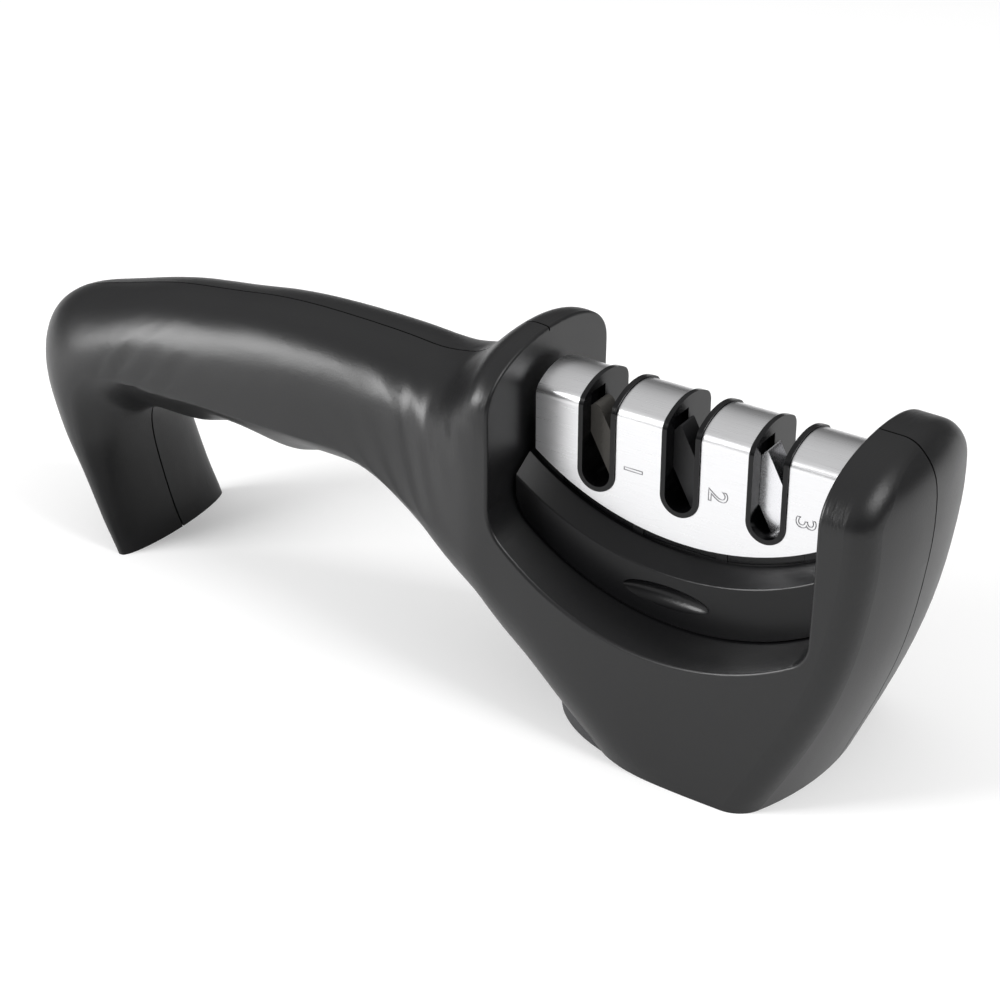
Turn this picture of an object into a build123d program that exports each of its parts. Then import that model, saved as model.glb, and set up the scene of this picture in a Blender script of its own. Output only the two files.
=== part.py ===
"""Pull through knife sharpener: a moulded body in two halves that carries a lift-out cartridge.

The X axis runs from the strut under the grip to the sharpening head, Z is up, and the halves of the
body part at y = 0. The origin lies on the table, midway along the body.
"""
from build123d import *
from math import cos, hypot, radians, sin
import os

os.makedirs("parts", exist_ok=True)

# Driving sizes of the body
body_length = 208.0
body_height = 73.4
grip_width = 30.0
head_width = 42.8
base_width = 52.8
body_wall = 2.2
parting_width = 0.4
parting_depth = 0.8
edge_radius = 0.6
overrun = 6.0

# Saddle between the humps
saddle_left = 23.4
saddle_right = 91.4
saddle_floor_height = 24.9
saddle_floor_radius = 53.0
saddle_floor_middle = 60.5
saddle_bench = 13.0
saddle_bench_rise = 1.2
saddle_left_corner = 9.0
saddle_right_corner = 6.0

# Right end of the head
end_bow_radius = 70.0
end_corner_radius = 5.5
# Profile of the right end from the table up, in shares of half the length and of the height
end_profile_shares = [
    (0.8558, 0.0),
    (0.9115, 0.1907),
    (0.9654, 0.4223),
    (0.9933, 0.6540),
    (1.0, 0.7902),
]
end_rake = 22.5
end_shoulder_share = 0.915
end_crown_right_share = 0.988
end_crown_share = 0.93

# Foot and base plate
pad_height = 4.0
pad_skirt = 1.8
pad_nose_length = 34.5
pad_flank_share = 0.60
pad_tip_share = 0.66
pad_middle = 66.0
pad_edge_radius = 0.5
pad_hole_radius = 3.2
plate_thickness = 2.2
fit_gap = 0.15

# Screws
screw_radius = 1.5
screw_head_radius = 2.8
screw_head_height = 2.0
holder_seat_depth = 1.0
screw_pilot_radius = 1.25
screw_hole_radius = 1.7
boss_radius = 3.9
screw_grip = 8.0
driver_slot_share = 0.75
screw_recess_depth = 5.0
driver_slot_width = 0.8
driver_slot_depth = 0.9

# Cartridge
cartridge_end_gap = 0.9
cover_end_gap = 1.25
cartridge_floor_gap = 0.4
cover_width = 15.8
cover_height = 67.4
cover_crown_radius = 12.3
cover_bend_radius = 2.6
cover_sheet = 0.6
cover_edge_height = 41.25
cover_edge_radius = 55.0
slot_width = 8.0
slot_pitch = 17.9
slot_bottom = 46.85
slot_shift = 0.4
rim_wall = 1.0
rim_stand = 0.35
lip_height = 36.9
lip_radius = 57.0
lip_width = 25.6
ledge_step = 1.9
lip_round = 0.35
arc_middle = 58.0
dimple_middle = 57.7
dimple_length = 19.5
dimple_height = 5.0
dimple_depth = 1.7
dimple_level = 32.2
core_gap = 0.1
tongue_length = 30.0
tongue_width = 12.0
tongue_depth = 7.5
tongue_gap = 0.3
base_sheet = 4.0
base_sheet_length = 46.0
base_sheet_width = 18.0
tongue_round = 0.8
comb_end_gap = 0.35

# Holders and abrasive bars
holder_width = 15.4
holder_bottom = 40.0
bar_widths = [4.4, 5.4, 6.4]
bar_thickness = 4.8
bar_length = 17.4
bar_lead = 3.9
bar_tip_share = 0.43
bar_tilt = 28.5
bar_spacing = 0.8
bar_points = [1.2, 0.3, 0.2]
holder_bite = 5.0
groove_gap = 0.12
vee_height = 60.9
mouth_depth = 1.4
mouth_top = 65.4

# Places of the screws: along and up for those through the side, along and across for the base's
handle_screw_places = [(-84.0, 44.0), (-20.0, 48.0)]
head_screw_places = [(12.0, 45.0), (97.0, 50.0)]
base_screw_places = [(50.0, -14.0), (50.0, 14.0), (78.0, -14.0), (78.0, 14.0)]

# Places worked out from the sizes
half_length = body_length / 2
head_half = head_width / 2
base_half = base_width / 2
grip_half = grip_width / 2
slot_centre = (saddle_left + saddle_right) / 2 - slot_shift
slot_places = [slot_centre - slot_pitch, slot_centre, slot_centre + slot_pitch]
cover_half = cover_width / 2
cartridge_left = saddle_left + cartridge_end_gap
cartridge_right = saddle_right - cartridge_end_gap
end_axis = half_length - end_bow_radius
pad_half = base_half - pad_skirt
plate_top = pad_height + fit_gap + plate_thickness
cartridge_length = cartridge_right - cartridge_left
cover_left = cartridge_left + cover_end_gap
cover_length = cartridge_length - 2 * cover_end_gap
comb_left = cover_left + comb_end_gap
comb_length = cover_length - 2 * comb_end_gap
sheet_left = slot_centre - base_sheet_length / 2
sheet_right = slot_centre + base_sheet_length / 2
sheet_half = base_sheet_width / 2
holder_seats = [
    saddle_floor_height
    + saddle_bench_rise
    + saddle_floor_radius
    - ((saddle_floor_radius - cartridge_floor_gap) ** 2 - (saddle_floor_middle - place) ** 2) ** 0.5
    + screw_head_height
    + holder_seat_depth
    for place in slot_places
]
well_bottom = saddle_floor_height + saddle_bench_rise - tongue_depth - tongue_gap
handle_seat = grip_half - screw_recess_depth
head_seat = head_half - screw_recess_depth
side_screws = [(x, z, handle_seat) for x, z in handle_screw_places]
side_screws += [(x, z, head_seat) for x, z in head_screw_places]


# Body sections, from the foot of the strut along the grip to the right end.
# Shares: outer seam x, z and inner seam x, z (of half the length and of the height), how far up the
# section its widest line and its shoulder lie, the half widths there (of half the head width), and
# how full the curves are above the shoulder and below the widest line.
section_shares = [
    (-0.744, -0.121, -0.667, -0.082, 0.320, 0.360, 0.794, 0.794, 0.34, 0.55),
    (-0.776, -0.026, -0.694, 0.016, 0.310, 0.350, 0.794, 0.794, 0.34, 0.55),
    (-0.813, 0.053, -0.718, 0.102, 0.310, 0.350, 0.794, 0.794, 0.34, 0.55),
    (-0.852, 0.146, -0.738, 0.198, 0.320, 0.360, 0.794, 0.794, 0.34, 0.55),
    (-0.896, 0.232, -0.751, 0.279, 0.320, 0.360, 0.790, 0.790, 0.34, 0.55),
    (-0.940, 0.307, -0.754, 0.330, 0.322, 0.360, 0.780, 0.780, 0.35, 0.54),
    (-0.979, 0.416, -0.750, 0.371, 0.330, 0.360, 0.766, 0.766, 0.38, 0.53),
    (-0.996, 0.535, -0.742, 0.390, 0.350, 0.380, 0.748, 0.748, 0.42, 0.51),
    (-0.972, 0.644, -0.733, 0.398, 0.385, 0.415, 0.729, 0.729, 0.46, 0.47),
    (-0.909, 0.714, -0.723, 0.401, 0.425, 0.455, 0.715, 0.715, 0.50, 0.42),
    (-0.828, 0.751, -0.712, 0.403, 0.450, 0.480, 0.706, 0.706, 0.54, 0.36),
    (-0.749, 0.781, -0.692, 0.405, 0.450, 0.480, 0.701, 0.701, 0.58, 0.29),
    (-0.654, 0.814, -0.654, 0.398, 0.425, 0.455, 0.701, 0.701, 0.61, 0.22),
    (-0.596, 0.827, -0.596, 0.400, 0.403, 0.433, 0.701, 0.701, 0.64, 0.18),
    (-0.529, 0.839, -0.529, 0.426, 0.355, 0.385, 0.701, 0.701, 0.66, 0.16),
    (-0.471, 0.850, -0.471, 0.432, 0.337, 0.367, 0.701, 0.701, 0.68, 0.16),
    (-0.418, 0.861, -0.418, 0.420, 0.348, 0.378, 0.701, 0.701, 0.70, 0.16),
    (-0.365, 0.868, -0.365, 0.404, 0.366, 0.396, 0.701, 0.701, 0.72, 0.16),
    (-0.303, 0.872, -0.303, 0.424, 0.335, 0.365, 0.701, 0.701, 0.74, 0.16),
    (-0.231, 0.872, -0.231, 0.432, 0.324, 0.354, 0.701, 0.701, 0.76, 0.16),
    (-0.144, 0.869, -0.144, 0.429, 0.332, 0.362, 0.706, 0.706, 0.77, 0.19),
    (-0.077, 0.864, -0.077, 0.422, 0.303, 0.340, 0.729, 0.724, 0.77, 0.28),
    (-0.010, 0.857, -0.010, 0.390, 0.282, 0.380, 0.776, 0.762, 0.75, 0.40),
    (0.048, 0.866, 0.048, 0.338, 0.310, 0.480, 0.841, 0.818, 0.71, 0.50),
    (0.096, 0.895, 0.096, 0.286, 0.320, 0.620, 0.907, 0.879, 0.66, 0.55),
    (0.144, 0.961, 0.144, 0.234, 0.310, 0.740, 0.963, 0.949, 0.60, 0.55),
    (0.175, 0.997, 0.175, 0.202, 0.310, 0.800, 1.000, 0.986, 0.60, 0.55),
    (0.231, 1.000, 0.231, 0.136, 0.280, 0.836, 1.023, 1.000, 0.60, 0.55),
    (0.298, 0.998, 0.298, 0.060, 0.270, 0.849, 1.051, 1.000, 0.60, 0.55),
    (0.365, 0.996, 0.365, -0.016, 0.250, 0.860, 1.089, 1.000, 0.60, 0.55),
    (0.433, 0.994, 0.433, -0.093, 0.240, 0.869, 1.131, 1.000, 0.60, 0.55),
    (0.500, 0.991, 0.500, -0.169, 0.230, 0.878, 1.173, 1.000, 0.60, 0.55),
    (0.567, 0.989, 0.567, -0.237, 0.230, 0.885, 1.206, 1.000, 0.60, 0.55),
    (0.634, 0.987, 0.634, -0.288, 0.235, 0.889, 1.222, 1.000, 0.60, 0.55),
    (0.701, 0.985, 0.701, -0.318, 0.240, 0.891, 1.230, 1.000, 0.60, 0.55),
    (0.768, 0.983, 0.768, -0.330, 0.240, 0.892, 1.233, 1.000, 0.60, 0.55),
    (0.835, 0.981, 0.835, -0.334, 0.240, 0.892, 1.234, 1.000, 0.60, 0.55),
    (0.902, 0.979, 0.902, -0.335, 0.240, 0.892, 1.234, 1.000, 0.60, 0.55),
    (0.969, 0.977, 0.969, -0.335, 0.240, 0.892, 1.234, 1.000, 0.60, 0.55),
    (1.036, 0.975, 1.036, -0.335, 0.240, 0.892, 1.234, 1.000, 0.60, 0.55),
]
side_upper_share = 0.75
side_lower_share = 0.10


def body_sections(inset):
    """Draw the sections of the body's skin, drawn in by inset, each on its own plane."""
    sections = []
    for shares in section_shares:
        outer_x, outer_z, inner_x, inner_z, wide, shoulder, half_wide, half_shoulder, crown, belly = shares
        run = (outer_x - inner_x) * half_length
        rise = (outer_z - inner_z) * body_height
        tall = hypot(run, rise)
        foot = (inner_x * half_length, 0, inner_z * body_height)
        plane = Plane(origin=foot, x_dir=(0, 1, 0), z_dir=(rise / tall, 0, -run / tall))
        side = 1 if plane.y_dir.dot(Vector(run, 0, rise)) > 0 else -1
        top, bottom = tall - inset, inset
        wide_level, shoulder_level = tall * wide, tall * shoulder
        wide_half = half_wide * head_half - inset
        shoulder_half = half_shoulder * head_half - inset
        length = shoulder_level - wide_level
        with BuildSketch(plane) as section:
            with BuildLine():
                Bezier(
                    (0, side * top),
                    (crown * shoulder_half, side * top),
                    (shoulder_half, side * (shoulder_level + crown * (top - shoulder_level))),
                    (shoulder_half, side * shoulder_level),
                )
                Bezier(
                    (shoulder_half, side * shoulder_level),
                    (shoulder_half, side * (shoulder_level - side_upper_share * length)),
                    (wide_half, side * (wide_level + side_lower_share * length)),
                    (wide_half, side * wide_level),
                )
                Bezier(
                    (wide_half, side * wide_level),
                    (wide_half, side * (wide_level - belly * (wide_level - bottom))),
                    (belly * wide_half, side * bottom),
                    (0, side * bottom),
                )
                mirror(about=Plane.YZ)
            make_face()
        sections.append(section.sketch)
    return sections


def saddle_profile(plane, grow, rise):
    """Draw the opening between the humps on a plane: walls, corners and arched floor."""
    left, right = saddle_left - grow, saddle_right + grow
    low = saddle_floor_height + rise - grow
    radius = saddle_floor_radius + grow
    centre = low + radius
    with BuildSketch(plane) as profile:
        with BuildLine():
            floor = ThreePointArc(
                (left, centre - (radius**2 - (saddle_floor_middle - left) ** 2) ** 0.5),
                (saddle_floor_middle, low),
                (right, centre - (radius**2 - (right - saddle_floor_middle) ** 2) ** 0.5),
            )
            Polyline(floor @ 0, (left, body_height + overrun), (right, body_height + overrun), floor @ 1)
        make_face()
        fillet(profile.vertices().group_by(Axis.X)[0].sort_by(Axis.Y)[0], saddle_left_corner + grow)
        fillet(profile.vertices().group_by(Axis.X)[-1].sort_by(Axis.Y)[0], saddle_right_corner + grow)
    return profile.sketch


def saddle_solid(grow):
    """Make the space between the humps: level under the cartridge, its floor falling to both sides."""
    reach = head_half + overrun
    fall = saddle_bench_rise * (reach - saddle_bench) / (head_half - saddle_bench)
    level = saddle_profile(Plane.XZ, grow, saddle_bench_rise)
    with BuildPart() as space:
        extrude(level, amount=saddle_bench, both=True)
        for face in (1, -1):
            inner = saddle_profile(Plane.XZ.offset(face * saddle_bench), grow, saddle_bench_rise)
            outer = saddle_profile(Plane.XZ.offset(face * reach), grow, saddle_bench_rise - fall)
            loft([inner, outer])
    return space.part


def end_solid(inset):
    """Make the space beyond the bowed right end, drawn in by inset."""
    places = [(x * half_length - inset, z * body_height) for x, z in end_profile_shares]
    with BuildPart() as space:
        with Locations((half_length, 0, 0)):
            Box(half_length, 2 * head_width, 2 * body_length)
        with BuildSketch(Plane.XZ):
            with BuildLine():
                side = Spline(*places, tangents=((sin(radians(end_rake)), cos(radians(end_rake))), (0, 1)))
                top = Bezier(
                    side @ 1,
                    (half_length - inset, end_shoulder_share * body_height - inset),
                    (end_crown_right_share * half_length, end_crown_share * body_height - inset),
                    (end_crown_share * half_length, body_height - inset),
                )
                Polyline(
                    top @ 1,
                    (end_axis, body_height + overrun),
                    (end_axis, -overrun),
                    (side @ 0 - (0, overrun)),
                    side @ 0,
                )
            make_face()
        revolve(axis=Axis((end_axis, 0, 0), (0, 0, 1)), mode=Mode.SUBTRACT)
    return space.part


def bar_corners(place, face, width, grow):
    """List the corners of a slot's leaning bar, from its pointed top by the working edge to its foot."""
    along = (-sin(radians(bar_tilt)), cos(radians(bar_tilt)))
    across = (-cos(radians(bar_tilt)), -sin(radians(bar_tilt)))
    low, high = bar_lead - bar_length - grow, bar_lead + grow
    near, far = -grow, width + grow
    return [
        (place + face * (along[0] * u + across[0] * w), vee_height + along[1] * u + across[1] * w)
        for u, w in ((high, near), (high - bar_tip_share * width, far), (low, far), (low, near))
    ]


def slot_sketch(place, width, low, high):
    """Draw a slot with a round bottom, seen from the front."""
    with BuildSketch(Plane.XZ) as outline:
        with BuildLine():
            arc = ThreePointArc(
                (place - width / 2, low + width / 2), (place, low), (place + width / 2, low + width / 2)
            )
            Polyline(arc @ 0, (place - width / 2, high), (place + width / 2, high), arc @ 1)
        make_face()
    return outline.sketch


def dome_sketch(half, grow, low, plane):
    """Draw the cover's outline seen from the end, grown by grow, down to a level."""
    with BuildSketch(plane) as outline:
        with BuildLine():
            rise = cover_crown_radius - (cover_crown_radius**2 - cover_half**2) ** 0.5
            shoulder = cover_height - rise
            crown = ThreePointArc(
                (-half, shoulder + grow), (0, cover_height + grow), (half, shoulder + grow)
            )
            Polyline(crown @ 0, (-half, low), (half, low), crown @ 1)
        make_face()
        fillet(outline.vertices().group_by(Axis.Y)[1], cover_bend_radius + grow)
    return outline.sketch


def arc_band(plane, low, high, low_radius, high_radius, left, right, middle, corners):
    """Draw a band between two arcs that hang down, with its lower corners rounded if asked."""
    with BuildSketch(plane) as outline:
        with BuildLine():
            under = ThreePointArc(
                (left, low + low_radius - (low_radius**2 - (middle[0] - left) ** 2) ** 0.5),
                (middle[0], low),
                (right, low + low_radius - (low_radius**2 - (right - middle[0]) ** 2) ** 0.5),
            )
            over = ThreePointArc(
                (left, high + high_radius - (high_radius**2 - (middle[1] - left) ** 2) ** 0.5),
                (middle[1], high),
                (right, high + high_radius - (high_radius**2 - (right - middle[1]) ** 2) ** 0.5),
            )
            Line(under @ 0, over @ 0)
            Line(under @ 1, over @ 1)
        make_face()
        if corners:
            fillet(outline.vertices().group_by(Axis.X)[0].sort_by(Axis.Y)[0], corners[0])
            fillet(outline.vertices().group_by(Axis.X)[-1].sort_by(Axis.Y)[0], corners[1])
    return outline.sketch


skin_sections = body_sections(0)
inner_sections = body_sections(body_wall)
groove_sections = body_sections(parting_depth)
saddle = saddle_solid(0)
saddle_inner = saddle_solid(body_wall)
beyond_end = end_solid(0)
beyond_inner_end = end_solid(body_wall)

# Skin of the whole body with the humps, the saddle and the bowed end
with BuildPart() as skin:
    loft(skin_sections)
    with Locations((0, 0, -body_height)):
        Box(2 * body_length, 2 * head_width, 2 * body_height, mode=Mode.SUBTRACT)
    add(beyond_end, mode=Mode.SUBTRACT)
    ends = skin.edges(Select.LAST).filter_by(lambda edge: edge.bounding_box().size.Y > grip_half)
    fillet(ends.filter_by(lambda edge: edge.bounding_box().size.Z > grip_half), end_corner_radius)
    add(saddle, mode=Mode.SUBTRACT)
    rims = skin.edges().filter_by(lambda edge: edge.bounding_box().min.X > saddle_left - edge_radius)
    rims = rims.filter_by(lambda edge: edge.bounding_box().max.X < saddle_right + edge_radius)
    floor_rims = rims.filter_by(
        lambda edge: edge.bounding_box().size.Y < body_wall
        and abs(edge.center().Y) > saddle_bench + body_wall
    )
    wall_rims = rims.filter_by(
        lambda edge: edge.bounding_box().size.X < edge_radius and edge.bounding_box().size.Z > grip_half
    )
    fillet(floor_rims + wall_rims, edge_radius)

# Hollow inside the body, round the screw bosses
with BuildPart() as hollow:
    loft(inner_sections)
    with Locations((0, 0, pad_height - body_height)):
        Box(2 * body_length, 2 * head_width, 2 * body_height, mode=Mode.SUBTRACT)
    add(beyond_inner_end, mode=Mode.SUBTRACT)
    add(saddle_inner, mode=Mode.SUBTRACT)
    with Locations((slot_places[1], 0, well_bottom - body_wall)):
        Box(
            tongue_length + 2 * tongue_gap + 2 * body_wall,
            tongue_width + 2 * tongue_gap + 2 * body_wall,
            body_height,
            align=(Align.CENTER, Align.CENTER, Align.MIN),
            mode=Mode.SUBTRACT,
        )
    for x, z, _ in side_screws:
        with Locations(Plane.XZ.offset(0) * Location((x, z, 0))):
            Cylinder(boss_radius, 2 * head_width, mode=Mode.SUBTRACT)
    with Locations(*[(x, y, plate_top + fit_gap) for x, y in base_screw_places]):
        Cylinder(
            boss_radius,
            body_height,
            align=(Align.CENTER, Align.CENTER, Align.MIN),
            mode=Mode.SUBTRACT,
        )

# Body inside the parting groove
with BuildPart() as groove_core:
    loft(groove_sections)
    add(end_solid(parting_depth), mode=Mode.SUBTRACT)

# Thin slit along the parting line
with BuildPart() as slit:
    Box(2 * body_length, parting_width, 3 * body_height)
    add(groove_core, mode=Mode.SUBTRACT)


def pad_solid(grow):
    """Make the pad's block, grown by grow to the sides and upward."""
    tip = pad_middle - pad_nose_length - grow
    half = pad_half + grow
    with BuildPart() as block:
        with BuildSketch():
            with BuildLine():
                nose = Bezier(
                    (pad_middle, half),
                    (pad_middle - pad_flank_share * pad_nose_length, half),
                    (tip, pad_tip_share * half),
                    (tip, 0),
                )
                Polyline(nose @ 0, (half_length, half), (half_length, 0))
                mirror(about=Plane.XZ)
            make_face()
        extrude(amount=pad_height + grow)
        add(end_solid(pad_skirt - grow), mode=Mode.SUBTRACT)
    return block.part


# Space that the foot pad takes from the shells
pad_space = pad_solid(fit_gap)

# Both halves of the body together
with BuildPart() as hull:
    add(skin)
    add(hollow, mode=Mode.SUBTRACT)
    add(pad_space, mode=Mode.SUBTRACT)
    with Locations((slot_places[1], 0, well_bottom)):
        Box(
            tongue_length + 2 * tongue_gap,
            tongue_width + 2 * tongue_gap,
            body_height,
            align=(Align.CENTER, Align.CENTER, Align.MIN),
            mode=Mode.SUBTRACT,
        )
    add(slit, mode=Mode.SUBTRACT)
    for x, z, seat in side_screws:
        with Locations(Plane.XZ.offset(-seat) * Location((x, z, 0))):
            Cylinder(
                screw_head_radius + fit_gap,
                head_width,
                align=(Align.CENTER, Align.CENTER, Align.MAX),
                mode=Mode.SUBTRACT,
            )
            Cylinder(
                screw_hole_radius, seat, align=(Align.CENTER, Align.CENTER, Align.MIN), mode=Mode.SUBTRACT
            )
            Cylinder(
                screw_pilot_radius,
                seat + screw_grip + fit_gap,
                align=(Align.CENTER, Align.CENTER, Align.MIN),
                mode=Mode.SUBTRACT,
            )
    with Locations(*[(x, y, plate_top) for x, y in base_screw_places]):
        Cylinder(
            screw_pilot_radius,
            screw_grip + fit_gap,
            align=(Align.CENTER, Align.CENTER, Align.MIN),
            mode=Mode.SUBTRACT,
        )

with BuildPart() as front_shell:
    add(hull)
    split(bisect_by=Plane.XZ, keep=Keep.TOP)

with BuildPart() as rear_shell:
    add(hull)
    split(bisect_by=Plane.XZ, keep=Keep.BOTTOM)

front_shell.part.label = "front_shell"
export_step(front_shell.part, "parts/front_shell.step")
rear_shell.part.label = "rear_shell"
export_step(rear_shell.part, "parts/rear_shell.step")


def screw_solid(length):
    """Make a screw that points up, its head's seat at the origin."""
    with BuildPart() as screw:
        Cylinder(screw_radius, length, align=(Align.CENTER, Align.CENTER, Align.MIN))
        Cylinder(
            screw_head_radius, screw_head_height, align=(Align.CENTER, Align.CENTER, Align.MAX)
        )
        with Locations((0, 0, -screw_head_height)):
            Box(
                2 * screw_head_radius * driver_slot_share,
                driver_slot_width,
                driver_slot_depth,
                align=(Align.CENTER, Align.CENTER, Align.MIN),
                mode=Mode.SUBTRACT,
            )
            Box(
                driver_slot_width,
                2 * screw_head_radius * driver_slot_share,
                driver_slot_depth,
                align=(Align.CENTER, Align.CENTER, Align.MIN),
                mode=Mode.SUBTRACT,
            )
    return screw.part


side_screw = {seat: screw_solid(seat + screw_grip) for seat in (handle_seat, head_seat)}

# Plate inside the foot of the head
with BuildPart() as base_plate:
    loft(body_sections(body_wall + fit_gap))
    add(end_solid(body_wall + fit_gap), mode=Mode.SUBTRACT)
    with Locations((half_length / 2, 0, pad_height + fit_gap)):
        Box(
            half_length,
            2 * head_width,
            plate_thickness,
            align=(Align.CENTER, Align.CENTER, Align.MIN),
            mode=Mode.INTERSECT,
        )
    with Locations(*[(x, y, pad_height) for x, y in base_screw_places]):
        Cylinder(
            screw_hole_radius, body_height, align=(Align.CENTER, Align.CENTER, Align.MIN), mode=Mode.SUBTRACT
        )
base_plate.part.label = "base_plate"
export_step(base_plate.part, "parts/base_plate.step")

# Rubber foot pad, with holes over the heads of the screws
with BuildPart() as foot_pad:
    add(pad_solid(0))
    fillet(foot_pad.faces().sort_by(Axis.Z)[0].edges(), pad_edge_radius)
    with Locations(*[(x, y, 0) for x, y in base_screw_places]):
        Cylinder(pad_hole_radius, 3 * pad_height, mode=Mode.SUBTRACT)
foot_pad.part.label = "foot_pad"
export_step(foot_pad.part, "parts/foot_pad.step")

# Screws that hold the base plate
base_screw = screw_solid(plate_thickness + screw_grip)
with BuildPart() as base_screws:
    with Locations(*[(x, y, pad_height + fit_gap) for x, y in base_screw_places]):
        add(base_screw)
base_screws.part.label = "base_screws"
export_step(base_screws.part, "parts/base_screws.step")

# Screws that clamp the halves of the grip, driven from behind
with BuildPart() as handle_screws:
    for x, z in handle_screw_places:
        with Locations(Plane.XZ.offset(-handle_seat) * Location((x, z, 0))):
            add(side_screw[handle_seat])
handle_screws.part.label = "handle_screws"
export_step(handle_screws.part, "parts/handle_screws.step")

# Screws that clamp the halves of the head, driven from behind
with BuildPart() as head_screws:
    for x, z in head_screw_places:
        with Locations(Plane.XZ.offset(-head_seat) * Location((x, z, 0))):
            add(side_screw[head_seat])
head_screws.part.label = "head_screws"
export_step(head_screws.part, "parts/head_screws.step")

# Steel cover of the cartridge
cover_arc = cover_edge_height + cover_edge_radius
with BuildPart() as cartridge_cover:
    extrude(dome_sketch(cover_half, 0, 0, Plane.YZ.offset(cover_left)), amount=cover_length)
    extrude(
        dome_sketch(cover_half - cover_sheet, -cover_sheet, 0, Plane.YZ.offset(cover_left)),
        amount=cover_length,
        mode=Mode.SUBTRACT,
    )
    with BuildSketch(Plane.XZ):
        with Locations((arc_middle, cover_arc)):
            Circle(cover_edge_radius)
            with Locations((0, cover_edge_radius)):
                Rectangle(2 * cover_edge_radius, 2 * cover_edge_radius)
    extrude(amount=head_width, both=True, mode=Mode.INTERSECT)
    for place in slot_places:
        extrude(
            slot_sketch(place, slot_width + 2 * core_gap, slot_bottom - core_gap, body_height + overrun),
            amount=head_width,
            both=True,
            mode=Mode.SUBTRACT,
        )
cartridge_cover.part.label = "cartridge_cover"
export_step(cartridge_cover.part, "parts/cartridge_cover.step")

# Black carrier: block with the ledge and lip, and the comb that fills the cover
block_low = saddle_floor_height + saddle_bench_rise + cartridge_floor_gap
block_radius = saddle_floor_radius - cartridge_floor_gap
ledge_height = cover_edge_height - ledge_step
middles = (saddle_floor_middle, arc_middle)
block_corners = (saddle_left_corner - cartridge_floor_gap, saddle_right_corner - cartridge_floor_gap)
comb_half = cover_half - cover_sheet - core_gap
with BuildPart() as cartridge_body:
    extrude(
        arc_band(
            Plane.XZ,
            block_low,
            ledge_height,
            block_radius,
            cover_edge_radius,
            cartridge_left,
            cartridge_right,
            middles,
            block_corners,
        ),
        amount=cover_half,
        both=True,
    )
    for face in (1, -1):
        ledge = arc_band(
            Plane.XZ.offset(face * cover_half),
            block_low,
            ledge_height,
            block_radius,
            cover_edge_radius,
            cartridge_left,
            cartridge_right,
            middles,
            block_corners,
        )
        lip = arc_band(
            Plane.XZ.offset(face * lip_width / 2),
            block_low,
            lip_height,
            block_radius,
            lip_radius,
            cartridge_left,
            cartridge_right,
            middles,
            block_corners,
        )
        loft([ledge, lip])
    lips = cartridge_body.edges().filter_by(
        lambda edge: abs(edge.center().Y) > cover_half + ledge_step
        and edge.bounding_box().size.X > head_half
    )
    fillet(lips.filter_by(lambda edge: edge.center().Z > lip_height), lip_round)
    extrude(
        dome_sketch(comb_half, -cover_sheet - core_gap, ledge_height, Plane.YZ.offset(comb_left)),
        amount=comb_length,
    )
    with BuildSketch(Plane.XZ):
        with Locations(*[(place, holder_bottom - core_gap) for place in slot_places]):
            Rectangle(
                holder_width + 2 * core_gap, body_height, align=(Align.CENTER, Align.MIN)
            )
    extrude(amount=comb_half, both=True, mode=Mode.SUBTRACT)
    for face in (1, -1):
        with BuildSketch(Plane.XZ.offset(face * (lip_width / 2 + dimple_height / 2 - dimple_depth))):
            with Locations((dimple_middle, dimple_level)):
                Ellipse(dimple_length / 2, dimple_height / 2)
                Rectangle(
                    dimple_length, dimple_height, align=(Align.CENTER, Align.MAX), mode=Mode.SUBTRACT
                )
        revolve(
            axis=Axis(
                (dimple_middle, -face * (lip_width / 2 + dimple_height / 2 - dimple_depth), dimple_level),
                (1, 0, 0),
            ),
            mode=Mode.SUBTRACT,
        )
    extrude(
        arc_band(
            Plane.XZ,
            block_low - overrun,
            block_low + base_sheet + core_gap,
            block_radius + overrun,
            block_radius - base_sheet - core_gap,
            sheet_left - tongue_gap,
            sheet_right + tongue_gap,
            (saddle_floor_middle, saddle_floor_middle),
            None,
        ),
        amount=sheet_half + tongue_gap,
        both=True,
        mode=Mode.SUBTRACT,
    )
    with Locations(*[(place, 0, 0) for place in slot_places]):
        Cylinder(
            screw_hole_radius,
            holder_bottom,
            align=(Align.CENTER, Align.CENTER, Align.MIN),
            mode=Mode.SUBTRACT,
        )
cartridge_body.part.label = "cartridge_body"
export_step(cartridge_body.part, "parts/cartridge_body.step")

# Base of the cartridge, with the tongue that plugs into the well
with BuildPart() as cartridge_base:
    extrude(
        arc_band(
            Plane.XZ,
            block_low,
            block_low + base_sheet,
            block_radius,
            block_radius - base_sheet,
            sheet_left,
            sheet_right,
            (saddle_floor_middle, saddle_floor_middle),
            None,
        ),
        amount=sheet_half,
        both=True,
    )
    with Locations((slot_places[1], 0, well_bottom + tongue_gap)):
        Box(
            tongue_length,
            tongue_width,
            block_low + base_sheet / 2 - well_bottom - tongue_gap,
            align=(Align.CENTER, Align.CENTER, Align.MIN),
        )
    fillet(cartridge_base.faces().sort_by(Axis.Z)[0].edges(), tongue_round)
    for place, seat in zip(slot_places, holder_seats):
        with Locations((place, 0, seat)):
            Cylinder(
                screw_head_radius + fit_gap,
                body_height,
                align=(Align.CENTER, Align.CENTER, Align.MAX),
                mode=Mode.SUBTRACT,
            )
            Cylinder(
                screw_hole_radius,
                body_height,
                align=(Align.CENTER, Align.CENTER, Align.MIN),
                mode=Mode.SUBTRACT,
            )
cartridge_base.part.label = "cartridge_base"
export_step(cartridge_base.part, "parts/cartridge_base.step")

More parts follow.
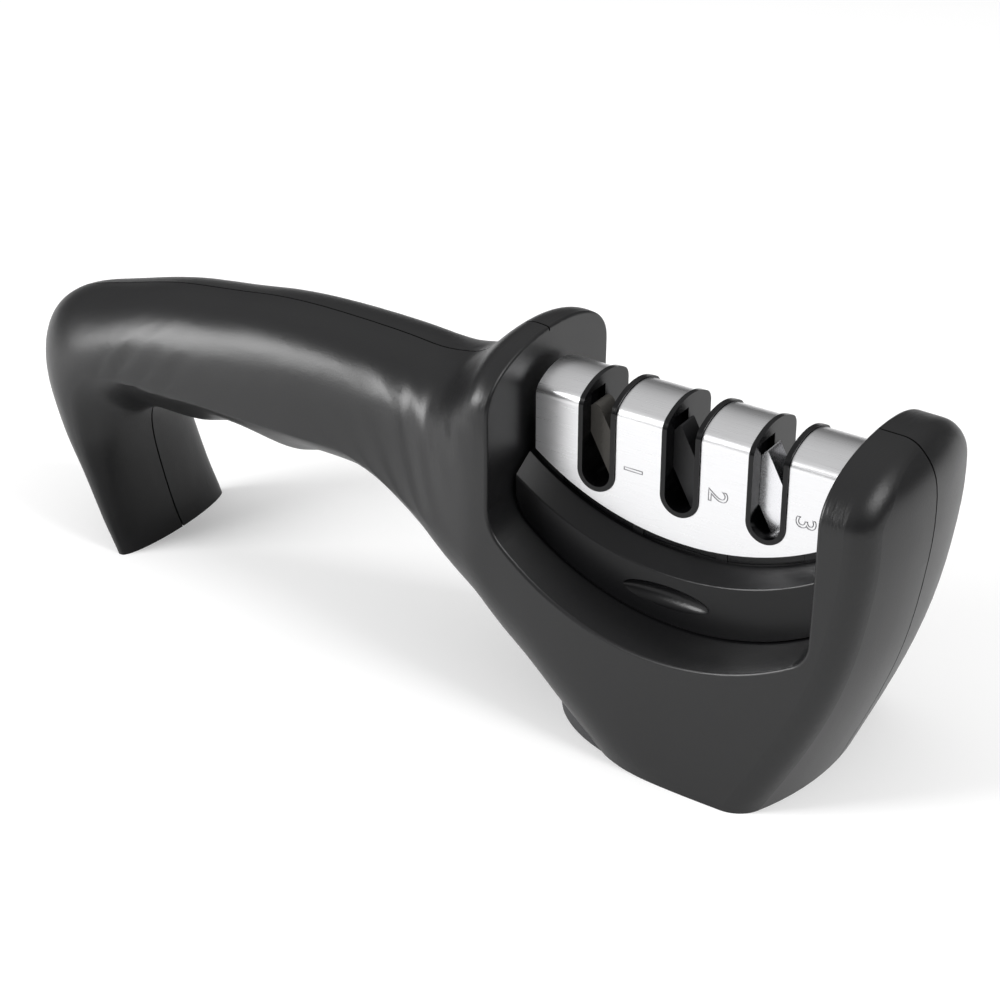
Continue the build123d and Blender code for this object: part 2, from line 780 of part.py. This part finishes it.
# Screws that hold the base and the holders to the carrier
with BuildPart() as cartridge_screws:
    for place, seat in zip(slot_places, holder_seats):
        with Locations((place, 0, seat)):
            add(screw_solid(holder_bottom + holder_bite - seat))
cartridge_screws.part.label = "cartridge_screws"
export_step(cartridge_screws.part, "parts/cartridge_screws.step")


def holder_solid(place, width):
    """Make a slotted insert whose rim lines a slot and whose grooves hold two crossed bars."""
    with BuildPart() as holder:
        extrude(
            dome_sketch(
                comb_half - core_gap,
                -cover_sheet - 2 * core_gap,
                holder_bottom,
                Plane.YZ.offset(place - holder_width / 2),
            ),
            amount=holder_width,
        )
        with BuildPart(mode=Mode.PRIVATE) as rim:
            extrude(
                dome_sketch(
                    cover_half + rim_stand,
                    rim_stand,
                    holder_bottom,
                    Plane.YZ.offset(place - slot_width / 2),
                ),
                amount=slot_width,
            )
            extrude(
                slot_sketch(place, slot_width, slot_bottom, body_height + overrun),
                amount=head_half,
                both=True,
                mode=Mode.INTERSECT,
            )
        add(rim.part)
        extrude(
            slot_sketch(place, slot_width - 2 * rim_wall, slot_bottom + rim_wall, body_height + overrun),
            amount=head_half,
            both=True,
            mode=Mode.SUBTRACT,
        )
        for face in (1, -1):
            middle = bar_spacing / 2 + bar_thickness / 2
            with BuildSketch(Plane.XZ.offset(face * middle)):
                with BuildLine():
                    Polyline(*bar_corners(place, face, width, groove_gap), close=True)
                make_face()
                with Locations((place - face * (slot_width / 2 - rim_wall + mouth_depth) / 2, mouth_top)):
                    Rectangle(
                        slot_width / 2 - rim_wall + mouth_depth,
                        mouth_top - vee_height,
                        align=(Align.CENTER, Align.MAX),
                    )
            extrude(amount=bar_thickness / 2 + groove_gap, both=True, mode=Mode.SUBTRACT)
        with Locations((place, 0, holder_bottom)):
            Cylinder(
                screw_pilot_radius,
                holder_bite + core_gap,
                align=(Align.CENTER, Align.CENTER, Align.MIN),
                mode=Mode.SUBTRACT,
            )
    return holder.part


def bar_solid(place, face, width, point):
    """Make a leaning bar, in front for face 1 and mirrored behind for face -1."""
    middle = bar_spacing / 2 + bar_thickness / 2
    with BuildPart() as bar:
        with BuildSketch(Plane.XZ.offset(face * middle)):
            with BuildLine():
                Polyline(*bar_corners(place, face, width, 0), close=True)
            make_face()
        extrude(amount=bar_thickness / 2, both=True)
        tip = bar.edges().filter_by(Axis.Y).sort_by(Axis.Z)[-2:]
        fillet(tip, point)
    return bar.part


for name, place, width, point in zip(("ceramic", "coarse", "fine"), slot_places, bar_widths, bar_points):
    with BuildPart() as holder:
        add(holder_solid(place, width))
    holder.part.label = name + "_holder"
    export_step(holder.part, "parts/" + name + "_holder.step")
    for side, face in (("front", 1), ("rear", -1)):
        with BuildPart() as bar:
            add(bar_solid(place, face, width, point))
        bar.part.label = name + "_bar_" + side
        export_step(bar.part, "parts/" + name + "_bar_" + side + ".step")
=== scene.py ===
"""Pull through knife sharpener on a pale studio floor, laid out as an add-on and run as a script."""

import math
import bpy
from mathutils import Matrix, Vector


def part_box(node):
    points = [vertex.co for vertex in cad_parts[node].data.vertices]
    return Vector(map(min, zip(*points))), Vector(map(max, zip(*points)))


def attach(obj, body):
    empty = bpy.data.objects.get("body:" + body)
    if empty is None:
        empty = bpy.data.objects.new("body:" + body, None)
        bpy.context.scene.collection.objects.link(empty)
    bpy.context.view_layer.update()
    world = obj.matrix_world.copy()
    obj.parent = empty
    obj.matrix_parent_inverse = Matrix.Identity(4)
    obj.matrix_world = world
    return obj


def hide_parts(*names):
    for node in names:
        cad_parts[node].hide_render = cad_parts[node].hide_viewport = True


bl_info = {
    "name": "Pull Through Knife Sharpener",
    "version": (1, 0, 0),
    "blender": (4, 5, 0),
    "location": "View3D > Sidebar > Sharpener",
    "description": "Finishes the packed knife sharpener and sets it on a studio floor",
    "category": "Object",
}

import bmesh
import bpy
import numpy as np
from mathutils import Matrix, Vector

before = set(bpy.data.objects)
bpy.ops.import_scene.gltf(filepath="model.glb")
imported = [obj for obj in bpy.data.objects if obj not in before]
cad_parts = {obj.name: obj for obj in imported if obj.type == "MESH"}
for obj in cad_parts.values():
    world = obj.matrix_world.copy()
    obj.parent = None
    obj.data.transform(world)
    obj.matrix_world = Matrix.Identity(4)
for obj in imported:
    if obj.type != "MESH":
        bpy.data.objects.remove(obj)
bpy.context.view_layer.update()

MM = 0.001
BODY = "body"
CARTRIDGE = "cartridge"
STAGES = ("ceramic", "coarse", "fine")

# Corners of the loose triangles that lie closer than this are merged
MERGE_GAP = 1e-7

# Noise of the materials: its middle value, and how fine its detail is
NOISE_MIDDLE = 0.5
GRAIN_DETAIL = 2.0
DRIFT_DETAIL = 3.0
BRUSH_DETAIL = 3.0

# Moulded grain: depth as a share of its width, slow drift of the roughness, and the rubber's grain
GRAIN_DEPTH_SHARE = 0.2
DRIFT_SCALE = 45.0
RUBBER_GRAIN_SHARE = 1.6

# Brushed lines: depth, and how far roughness and tone change from line to line
BRUSH_DEPTH = 0.00002
BRUSH_ROUGHNESS_SPREAD = 0.18
BRUSH_TONE_SPREAD = 0.16

# Stage numbers: height of a figure as a share of its text size, its finish and its smoothness
FIGURE_SHARE = 0.7
FIGURE_COLOUR = (0.30, 0.30, 0.31)
FIGURE_ROUGHNESS = 0.6
FIGURE_BEVEL_STEPS = 1
FIGURE_CURVE_STEPS = 6
QUARTER_TURN = math.radians(90)

# Floor and camera
FLOOR_ROUGHNESS = 0.7
FLOOR_SPECULAR = 0.1
SENSOR_WIDTH = 36.0
NEAR_CLIP = 0.01

# Lamps: name, place, the point it is turned to, width, height and power
LAMPS = (
    ("key_softbox", (-0.66, -0.62, 0.40), (0.0, 0.0, 0.04), 0.42, 0.46, 10.5),
    ("side_softbox", (0.66, 0.05, 0.72), (0.0, 0.0, 0.04), 0.5, 0.5, 5.0),
)

cover_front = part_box("cartridge_cover")[0].y
holder_boxes = {stage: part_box(stage + "_holder") for stage in STAGES}


# Settings that a user would change

class SHARPENER_PG_body(bpy.types.PropertyGroup):
    """Finish of the moulded body."""

    shell_colour: bpy.props.FloatVectorProperty(
        name="Shell colour", description="Colour of the black plastic", subtype="COLOR",
        size=3, min=0, max=1, default=(0.006, 0.006, 0.0065),
    )
    shell_roughness: bpy.props.FloatProperty(
        name="Shell roughness", description="How dull the black plastic is", subtype="FACTOR",
        min=0, max=1, default=0.37,
    )
    grain_size: bpy.props.FloatProperty(
        name="Grain size", description="Width of one grain of the moulded texture",
        subtype="DISTANCE", unit="LENGTH", default=0.00035,
    )
    pad_colour: bpy.props.FloatVectorProperty(
        name="Pad colour", description="Colour of the rubber foot", subtype="COLOR",
        size=3, min=0, max=1, default=(0.045, 0.045, 0.047),
    )


class SHARPENER_PG_cartridge(bpy.types.PropertyGroup):
    """Finish of the lift-out cartridge."""

    steel_colour: bpy.props.FloatVectorProperty(
        name="Steel colour", description="Colour of the cover's sheet", subtype="COLOR",
        size=3, min=0, max=1, default=(0.74, 0.74, 0.75),
    )
    steel_roughness: bpy.props.FloatProperty(
        name="Steel roughness", description="How dull the cover is", subtype="FACTOR",
        min=0, max=1, default=0.30,
    )
    figure_height: bpy.props.FloatProperty(
        name="Figure height", description="Height of the stage numbers on the cover",
        subtype="DISTANCE", unit="LENGTH", default=0.0040,
    )
    figure_line: bpy.props.FloatProperty(
        name="Figure line", description="Half the width of the engraved lines",
        subtype="DISTANCE", unit="LENGTH", default=0.00011,
    )
    figure_level: bpy.props.FloatProperty(
        name="Figure level", description="How high up the cover the numbers stand",
        subtype="DISTANCE", unit="LENGTH", default=0.0535,
    )
    figure_offset: bpy.props.FloatProperty(
        name="Figure offset", description="How far right of its slot a number stands",
        subtype="DISTANCE", unit="LENGTH", default=0.0077,
    )


class SHARPENER_PG_stage(bpy.types.PropertyGroup):
    """Camera, floor and lamps."""

    azimuth: bpy.props.FloatProperty(
        name="Azimuth", description="How far round the camera stands", subtype="ANGLE",
        default=math.radians(33.51),
    )
    elevation: bpy.props.FloatProperty(
        name="Elevation", description="How steeply the camera looks down", subtype="ANGLE",
        default=math.radians(29.44),
    )
    distance: bpy.props.FloatProperty(
        name="Distance", description="From the camera to the point it looks at", subtype="DISTANCE",
        unit="LENGTH", default=0.49567,
    )
    target: bpy.props.FloatVectorProperty(
        name="Target", description="Point that the camera looks at", subtype="XYZ", size=3,
        default=(0.01223, 0.0, 0.03268),
    )
    lens: bpy.props.FloatProperty(
        name="Lens", description="Focal length in millimetres", default=90.06,
    )
    floor_size: bpy.props.FloatProperty(
        name="Floor size", description="Width of the floor", subtype="DISTANCE", unit="LENGTH",
        default=6.0,
    )
    floor_colour: bpy.props.FloatVectorProperty(
        name="Floor colour", description="Colour of the floor", subtype="COLOR",
        size=3, min=0, max=1, default=(0.86, 0.86, 0.86),
    )
    floor_glow: bpy.props.FloatProperty(
        name="Floor glow", description="Light that the floor adds where it is seen", default=0.18,
    )
    horizon_level: bpy.props.FloatProperty(
        name="Horizon level", description="Height on the sky where it starts to brighten",
        default=0.1,
    )
    zenith_level: bpy.props.FloatProperty(
        name="Zenith level", description="Height on the sky where it is brightest", default=0.95,
    )
    horizon_strength: bpy.props.FloatProperty(
        name="Horizon strength", description="Light from all round, near the floor", default=0.10,
    )
    zenith_strength: bpy.props.FloatProperty(
        name="Zenith strength", description="Light from overhead", default=0.70,
    )


# Shader helpers

def socket(group, name, kind, inward, default=None):
    """Add a named socket to a node group, on its way in or out."""
    made = group.interface.new_socket(
        name=name, in_out="INPUT" if inward else "OUTPUT", socket_type="NodeSocket" + kind
    )
    if default is not None:
        made.default_value = default
    return made


def math_node(tree, operation, first, second=None, clamp=False):
    """Join two values, sockets or numbers, with a math node and return its output."""
    node = tree.nodes.new("ShaderNodeMath")
    node.operation = operation
    node.use_clamp = clamp
    for place, value in enumerate((first, second)):
        if value is None:
            continue
        if isinstance(value, (int, float)):
            node.inputs[place].default_value = value
        else:
            tree.links.new(value, node.inputs[place])
    return node.outputs[0]


def moulded_grain():
    """Group: fine pebbled grain of moulded plastic, as a height and a roughness that varies."""
    found = bpy.data.node_groups.get("Moulded grain")
    if found:
        return found
    group = bpy.data.node_groups.new("Moulded grain", "ShaderNodeTree")
    socket(group, "Grain Width", "Float", True, 0.35)
    socket(group, "Roughness", "Float", True, 0.4)
    socket(group, "Roughness Spread", "Float", True, 0.06)
    socket(group, "Height", "Float", False)
    socket(group, "Roughness", "Float", False)
    nodes, links = group.nodes, group.links
    inward, outward = nodes.new("NodeGroupInput"), nodes.new("NodeGroupOutput")
    place = nodes.new("ShaderNodeTexCoord")
    scale = math_node(group, "DIVIDE", 1 / MM, inward.outputs["Grain Width"])
    grains = nodes.new("ShaderNodeTexNoise")
    grains.inputs["Detail"].default_value = GRAIN_DETAIL
    links.new(place.outputs["Object"], grains.inputs["Vector"])
    links.new(scale, grains.inputs["Scale"])
    drift = nodes.new("ShaderNodeTexNoise")
    drift.inputs["Scale"].default_value = DRIFT_SCALE
    drift.inputs["Detail"].default_value = DRIFT_DETAIL
    links.new(place.outputs["Object"], drift.inputs["Vector"])
    swing = math_node(group, "SUBTRACT", drift.outputs[0], NOISE_MIDDLE)
    swing = math_node(group, "MULTIPLY", swing, inward.outputs["Roughness Spread"])
    speck = math_node(group, "SUBTRACT", grains.outputs[0], NOISE_MIDDLE)
    speck = math_node(group, "MULTIPLY", speck, inward.outputs["Roughness Spread"])
    rough = math_node(group, "ADD", inward.outputs["Roughness"], swing)
    rough = math_node(group, "ADD", rough, speck, clamp=True)
    links.new(grains.outputs[0], outward.inputs["Height"])
    links.new(rough, outward.inputs["Roughness"])
    return group


def brushed_lines():
    """Group: fine lines of brushed metal along X, as a height, a roughness and a tone."""
    found = bpy.data.node_groups.get("Brushed lines")
    if found:
        return found
    group = bpy.data.node_groups.new("Brushed lines", "ShaderNodeTree")
    socket(group, "Roughness", "Float", True, 0.3)
    socket(group, "Lines per Metre", "Float", True, 9000.0)
    socket(group, "Length Share", "Float", True, 0.012)
    socket(group, "Height", "Float", False)
    socket(group, "Roughness", "Float", False)
    socket(group, "Tone", "Float", False)
    nodes, links = group.nodes, group.links
    inward, outward = nodes.new("NodeGroupInput"), nodes.new("NodeGroupOutput")
    place = nodes.new("ShaderNodeTexCoord")
    squeeze = nodes.new("ShaderNodeCombineXYZ")
    links.new(inward.outputs["Length Share"], squeeze.inputs[0])
    squeeze.inputs[1].default_value = 1.0
    squeeze.inputs[2].default_value = 1.0
    stretch = nodes.new("ShaderNodeVectorMath")
    stretch.operation = "MULTIPLY"
    links.new(place.outputs["Object"], stretch.inputs[0])
    links.new(squeeze.outputs[0], stretch.inputs[1])
    lines = nodes.new("ShaderNodeTexNoise")
    lines.inputs["Detail"].default_value = BRUSH_DETAIL
    links.new(stretch.outputs[0], lines.inputs["Vector"])
    links.new(inward.outputs["Lines per Metre"], lines.inputs["Scale"])
    swing = math_node(group, "SUBTRACT", lines.outputs[0], NOISE_MIDDLE)
    rough = math_node(group, "MULTIPLY", swing, BRUSH_ROUGHNESS_SPREAD)
    rough = math_node(group, "ADD", rough, inward.outputs["Roughness"], clamp=True)
    tone = math_node(group, "MULTIPLY", swing, BRUSH_TONE_SPREAD)
    tone = math_node(group, "ADD", tone, 1.0)
    links.new(lines.outputs[0], outward.inputs["Height"])
    links.new(rough, outward.inputs["Roughness"])
    links.new(tone, outward.inputs["Tone"])
    return group


def background_rays(tree):
    """Mask of the rays that show the pale background: camera, glossy and transmission rays."""
    seen = tree.nodes.new("ShaderNodeLightPath")
    mask = math_node(tree, "MAXIMUM", seen.outputs["Is Camera Ray"], seen.outputs["Is Glossy Ray"])
    return math_node(tree, "MAXIMUM", mask, seen.outputs["Is Transmission Ray"])


def base_material(name, colour):
    """Start a material with a Principled shader of one colour."""
    material = bpy.data.materials.new(name)
    material.use_nodes = True
    shader = material.node_tree.nodes["Principled BSDF"]
    shader.inputs["Base Color"].default_value = (*colour, 1.0)
    return material, material.node_tree, shader


def add_bump(tree, shader, height, strength, distance):
    """Feed a height into the shader's normal through a Bump node."""
    bump = tree.nodes.new("ShaderNodeBump")
    bump.inputs["Strength"].default_value = strength
    bump.inputs["Distance"].default_value = distance
    tree.links.new(height, bump.inputs["Height"])
    tree.links.new(bump.outputs["Normal"], shader.inputs["Normal"])


def moulded_plastic(name, colour, roughness, width, strength, specular=0.5, spread=0.06):
    """Black moulded plastic: satin, with a fine pebbled grain."""
    material, tree, shader = base_material(name, colour)
    grain = tree.nodes.new("ShaderNodeGroup")
    grain.node_tree = moulded_grain()
    grain.inputs["Grain Width"].default_value = width / MM
    grain.inputs["Roughness"].default_value = roughness
    grain.inputs["Roughness Spread"].default_value = spread
    tree.links.new(grain.outputs["Roughness"], shader.inputs["Roughness"])
    shader.inputs["Specular IOR Level"].default_value = specular
    add_bump(tree, shader, grain.outputs["Height"], strength, width * GRAIN_DEPTH_SHARE)
    return material


def brushed_metal(name, colour, roughness, lines, strength, share=0.012):
    """Brushed metal whose lines run along X, with a tone that changes from line to line."""
    material, tree, shader = base_material(name, colour)
    brush = tree.nodes.new("ShaderNodeGroup")
    brush.node_tree = brushed_lines()
    brush.inputs["Roughness"].default_value = roughness
    brush.inputs["Lines per Metre"].default_value = lines
    brush.inputs["Length Share"].default_value = share
    tint = tree.nodes.new("ShaderNodeVectorMath")
    tint.operation = "SCALE"
    tint.inputs[0].default_value = colour
    tree.links.new(brush.outputs["Tone"], tint.inputs["Scale"])
    tree.links.new(tint.outputs[0], shader.inputs["Base Color"])
    tree.links.new(brush.outputs["Roughness"], shader.inputs["Roughness"])
    shader.inputs["Metallic"].default_value = 1.0
    add_bump(tree, shader, brush.outputs["Height"], strength, BRUSH_DEPTH)
    return material


# Mesh helpers

def merge_corners(mesh):
    """Merge the loose triangles of a mesh, and keep the exact normal of each of their corners."""
    normals = np.empty(len(mesh.loops) * 3)
    mesh.corner_normals.foreach_get("vector", normals)
    kept = mesh.attributes.new("exact_normal", "FLOAT_VECTOR", "CORNER")
    kept.data.foreach_set("vector", normals)
    merged = bmesh.new()
    merged.from_mesh(mesh)
    bmesh.ops.remove_doubles(merged, verts=merged.verts, dist=MERGE_GAP)
    merged.to_mesh(mesh)
    merged.free()
    kept = mesh.attributes["exact_normal"]
    normals = np.empty(len(mesh.loops) * 3)
    kept.data.foreach_get("vector", normals)
    mesh.attributes.remove(kept)
    mesh.normals_split_custom_set(normals.reshape(-1, 3))


def finished_copy(node, name, body, material):
    """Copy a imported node, merge the copy, and let it take the node's place with its material."""
    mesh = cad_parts[node].data.copy()
    mesh.name = name
    merge_corners(mesh)
    mesh.materials.clear()
    mesh.materials.append(material)
    piece = bpy.data.objects.new(name, mesh)
    bpy.context.scene.collection.objects.link(piece)
    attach(piece, body)
    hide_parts(node)
    return piece


# Operators, one for each group of pieces

class SHARPENER_OT_body(bpy.types.Operator):
    """Finish both halves of the moulded body, its base plate and its rubber foot."""

    bl_idname = "sharpener.body"
    bl_label = "Finish body"

    def execute(self, context):
        look = context.scene.sharpener_body
        shell = moulded_plastic(
            "satin_black_plastic", tuple(look.shell_colour), look.shell_roughness,
            width=look.grain_size, strength=0.22, specular=0.4,
        )
        plate = moulded_plastic(
            "matt_black_plastic", (0.02, 0.02, 0.021), roughness=0.55,
            width=look.grain_size, strength=0.3,
        )
        rubber = moulded_plastic(
            "foot_rubber", tuple(look.pad_colour), roughness=0.72,
            width=look.grain_size * RUBBER_GRAIN_SHARE, strength=0.5, specular=0.3,
        )
        for node, piece in (("front_shell", "front_half"), ("rear_shell", "rear_half")):
            finished_copy(node, piece, BODY, shell)
        finished_copy("base_plate", "sole_plate", BODY, plate)
        finished_copy("foot_pad", "rubber_foot", BODY, rubber)
        return {"FINISHED"}


class SHARPENER_OT_screws(bpy.types.Operator):
    """Finish the screws of the body and of the cartridge."""

    bl_idname = "sharpener.screws"
    bl_label = "Finish screws"

    def execute(self, context):
        zinc = brushed_metal(
            "screw_zinc", (0.48, 0.48, 0.49), roughness=0.34, lines=5000.0, strength=0.1, share=1.0
        )
        for node, body in (
            ("base_screws", BODY), ("handle_screws", BODY), ("head_screws", BODY),
            ("cartridge_screws", CARTRIDGE),
        ):
            finished_copy(node, node.replace("screws", "screw_set"), body, zinc)
        return {"FINISHED"}


class SHARPENER_OT_cover(bpy.types.Operator):
    """Finish the bent steel cover."""

    bl_idname = "sharpener.cover"
    bl_label = "Finish steel cover"

    def execute(self, context):
        look = context.scene.sharpener_cartridge
        steel = brushed_metal(
            "brushed_cover_steel", tuple(look.steel_colour), look.steel_roughness,
            lines=9000.0, strength=0.12,
        )
        finished_copy("cartridge_cover", "steel_cover", CARTRIDGE, steel)
        return {"FINISHED"}


class SHARPENER_OT_carrier(bpy.types.Operator):
    """Finish the black carrier, its base and the three slotted inserts."""

    bl_idname = "sharpener.carrier"
    bl_label = "Finish carrier"

    def execute(self, context):
        look = context.scene.sharpener_body
        black = moulded_plastic(
            "carrier_plastic", (0.004, 0.004, 0.0045), roughness=0.30,
            width=look.grain_size, strength=0.10, specular=0.25,
        )
        insert = moulded_plastic(
            "insert_plastic", (0.003, 0.003, 0.0035), roughness=0.20,
            width=look.grain_size, strength=0.04, specular=0.25,
        )
        finished_copy("cartridge_body", "carrier", CARTRIDGE, black)
        finished_copy("cartridge_base", "carrier_base", CARTRIDGE, black)
        for stage in STAGES:
            finished_copy(stage + "_holder", stage + "_insert", CARTRIDGE, insert)
        return {"FINISHED"}


class SHARPENER_OT_bars(bpy.types.Operator):
    """Finish the crossed abrasive bars of the three stages."""

    bl_idname = "sharpener.bars"
    bl_label = "Finish abrasive bars"

    def execute(self, context):
        stone = moulded_plastic(
            "ceramic_stone", (0.07, 0.066, 0.06), roughness=0.8,
            width=0.0004, strength=1.0, specular=0.3, spread=0.2,
        )
        coated = moulded_plastic(
            "diamond_coating", (0.012, 0.012, 0.013), roughness=0.45,
            width=0.0002, strength=0.8, specular=0.3, spread=0.3,
        )
        ground = brushed_metal(
            "ground_metal", (0.72, 0.72, 0.74), roughness=0.26, lines=6000.0, strength=0.3, share=1.0
        )
        for stage, finish in zip(STAGES, (stone, coated, ground)):
            for side in ("front", "rear"):
                finished_copy(f"{stage}_bar_{side}", f"{stage}_{side}_bar", CARTRIDGE, finish)
        return {"FINISHED"}


class SHARPENER_OT_figures(bpy.types.Operator):
    """Engrave the plain stage numbers in the front of the steel cover."""

    bl_idname = "sharpener.figures"
    bl_label = "Engrave stage numbers"

    def execute(self, context):
        look = context.scene.sharpener_cartridge
        ink, tree, shader = base_material("engraved_line", FIGURE_COLOUR)
        shader.inputs["Metallic"].default_value = 1.0
        grain = tree.nodes.new("ShaderNodeGroup")
        grain.node_tree = moulded_grain()
        grain.inputs["Roughness"].default_value = FIGURE_ROUGHNESS
        tree.links.new(grain.outputs["Roughness"], shader.inputs["Roughness"])
        for number, stage in enumerate(STAGES, 1):
            low, high = holder_boxes[stage]
            text = bpy.data.curves.new(f"figure_{number}", "FONT")
            text.body = str(number)
            text.align_x = text.align_y = "CENTER"
            text.size = look.figure_height / FIGURE_SHARE
            text.fill_mode = "NONE"
            text.bevel_depth = look.figure_line
            text.bevel_resolution = FIGURE_BEVEL_STEPS
            text.resolution_u = FIGURE_CURVE_STEPS
            drawn = bpy.data.objects.new("drawn", text)
            context.scene.collection.objects.link(drawn)
            context.view_layer.update()
            mesh = bpy.data.meshes.new_from_object(drawn)
            bpy.data.objects.remove(drawn)
            along = (low.x + high.x) / 2 + look.figure_offset
            place = Vector((along, cover_front, look.figure_level))
            upright = Matrix.Rotation(QUARTER_TURN, 4, "X")
            turn = upright @ Matrix.Rotation(-QUARTER_TURN, 4, "Z")
            mesh.transform(Matrix.Translation(place) @ turn)
            mesh.materials.clear()
            mesh.materials.append(ink)
            mesh.shade_smooth()
            piece = bpy.data.objects.new(f"stage_number_{number}", mesh)
            context.scene.collection.objects.link(piece)
            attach(piece, CARTRIDGE)
        return {"FINISHED"}


class SHARPENER_OT_stage(bpy.types.Operator):
    """Set the floor, the lamps, the world and the camera."""

    bl_idname = "sharpener.stage"
    bl_label = "Set stage"

    def execute(self, context):
        scene = context.scene
        look = scene.sharpener_stage
        scene.view_settings.view_transform = "Standard"

        half = look.floor_size / 2
        mesh = bpy.data.meshes.new("studio_floor")
        corners = [(-half, -half, 0), (half, -half, 0), (half, half, 0), (-half, half, 0)]
        mesh.from_pydata(corners, [], [range(len(corners))])
        floor_material, tree, shader = base_material("pale_floor", tuple(look.floor_colour))
        shader.inputs["Roughness"].default_value = FLOOR_ROUGHNESS
        shader.inputs["Specular IOR Level"].default_value = FLOOR_SPECULAR
        glow = tree.nodes.new("ShaderNodeEmission")
        glow.inputs["Strength"].default_value = look.floor_glow
        both = tree.nodes.new("ShaderNodeAddShader")
        mixed = tree.nodes.new("ShaderNodeMixShader")
        tree.links.new(shader.outputs[0], both.inputs[0])
        tree.links.new(glow.outputs[0], both.inputs[1])
        tree.links.new(background_rays(tree), mixed.inputs["Fac"])
        tree.links.new(shader.outputs[0], mixed.inputs[1])
        tree.links.new(both.outputs[0], mixed.inputs[2])
        tree.links.new(mixed.outputs[0], tree.nodes["Material Output"].inputs["Surface"])
        mesh.materials.append(floor_material)
        floor = bpy.data.objects.new("studio_floor", mesh)
        scene.collection.objects.link(floor)

        world = bpy.data.worlds.new("studio_world")
        world.use_nodes = True
        tree = world.node_tree
        sky = tree.nodes["Background"]
        place = tree.nodes.new("ShaderNodeTexCoord")
        apart = tree.nodes.new("ShaderNodeSeparateXYZ")
        tree.links.new(place.outputs["Generated"], apart.inputs[0])
        level = tree.nodes.new("ShaderNodeMapRange")
        level.interpolation_type = "SMOOTHSTEP"
        level.inputs["From Min"].default_value = look.horizon_level
        level.inputs["From Max"].default_value = look.zenith_level
        level.inputs["To Min"].default_value = look.horizon_strength
        level.inputs["To Max"].default_value = look.zenith_strength
        tree.links.new(apart.outputs["Z"], level.inputs["Value"])
        tree.links.new(level.outputs[0], sky.inputs["Strength"])
        sky.inputs["Color"].default_value = (1, 1, 1, 1)
        scene.world = world

        for name, place, aim, width, height, power in LAMPS:
            lamp = bpy.data.lights.new(name, "AREA")
            lamp.shape = "RECTANGLE"
            lamp.size, lamp.size_y = width, height
            lamp.energy = power
            holder = bpy.data.objects.new(name, lamp)
            holder.location = place
            toward = Vector(aim) - Vector(place)
            holder.rotation_euler = toward.to_track_quat("-Z", "Y").to_euler()
            scene.collection.objects.link(holder)

        eye = bpy.data.cameras.new("studio_camera")
        eye.lens = look.lens
        eye.sensor_fit = "HORIZONTAL"
        eye.sensor_width = SENSOR_WIDTH
        eye.clip_start = NEAR_CLIP
        camera = bpy.data.objects.new("studio_camera", eye)
        back = Vector((
            math.sin(look.azimuth) * math.cos(look.elevation),
            -math.cos(look.azimuth) * math.cos(look.elevation),
            math.sin(look.elevation),
        ))
        target = Vector(look.target)
        camera.location = target + back * look.distance
        camera.rotation_euler = (-back).to_track_quat("-Z", "Y").to_euler()
        scene.collection.objects.link(camera)
        scene.camera = camera
        return {"FINISHED"}


class SHARPENER_PT_panel(bpy.types.Panel):
    """Lists the steps of the sharpener in the sidebar."""

    bl_label = "Knife Sharpener"
    bl_idname = "SHARPENER_PT_panel"
    bl_space_type = "VIEW_3D"
    bl_region_type = "UI"
    bl_category = "Sharpener"

    def draw(self, context):
        for operator in OPERATORS:
            self.layout.operator(operator.bl_idname)
        for settings in ("sharpener_body", "sharpener_cartridge", "sharpener_stage"):
            group = getattr(context.scene, settings)
            box = self.layout.box()
            for name in group.__annotations__:
                box.prop(group, name)


SETTINGS = {
    "sharpener_body": SHARPENER_PG_body,
    "sharpener_cartridge": SHARPENER_PG_cartridge,
    "sharpener_stage": SHARPENER_PG_stage,
}
OPERATORS = (
    SHARPENER_OT_body,
    SHARPENER_OT_screws,
    SHARPENER_OT_cover,
    SHARPENER_OT_carrier,
    SHARPENER_OT_bars,
    SHARPENER_OT_figures,
    SHARPENER_OT_stage,
)


def register():
    for kind in (*SETTINGS.values(), *OPERATORS, SHARPENER_PT_panel):
        bpy.utils.register_class(kind)
    for name, kind in SETTINGS.items():
        setattr(bpy.types.Scene, name, bpy.props.PointerProperty(type=kind))


def unregister():
    for name in SETTINGS:
        delattr(bpy.types.Scene, name)
    for kind in reversed((*SETTINGS.values(), *OPERATORS, SHARPENER_PT_panel)):
        bpy.utils.unregister_class(kind)


def main():
    """Register the add-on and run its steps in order."""
    register()
    bpy.ops.sharpener.body()
    bpy.ops.sharpener.screws()
    bpy.ops.sharpener.cover()
    bpy.ops.sharpener.carrier()
    bpy.ops.sharpener.bars()
    bpy.ops.sharpener.figures()
    bpy.ops.sharpener.stage()


if __name__ == "__main__":
    main()
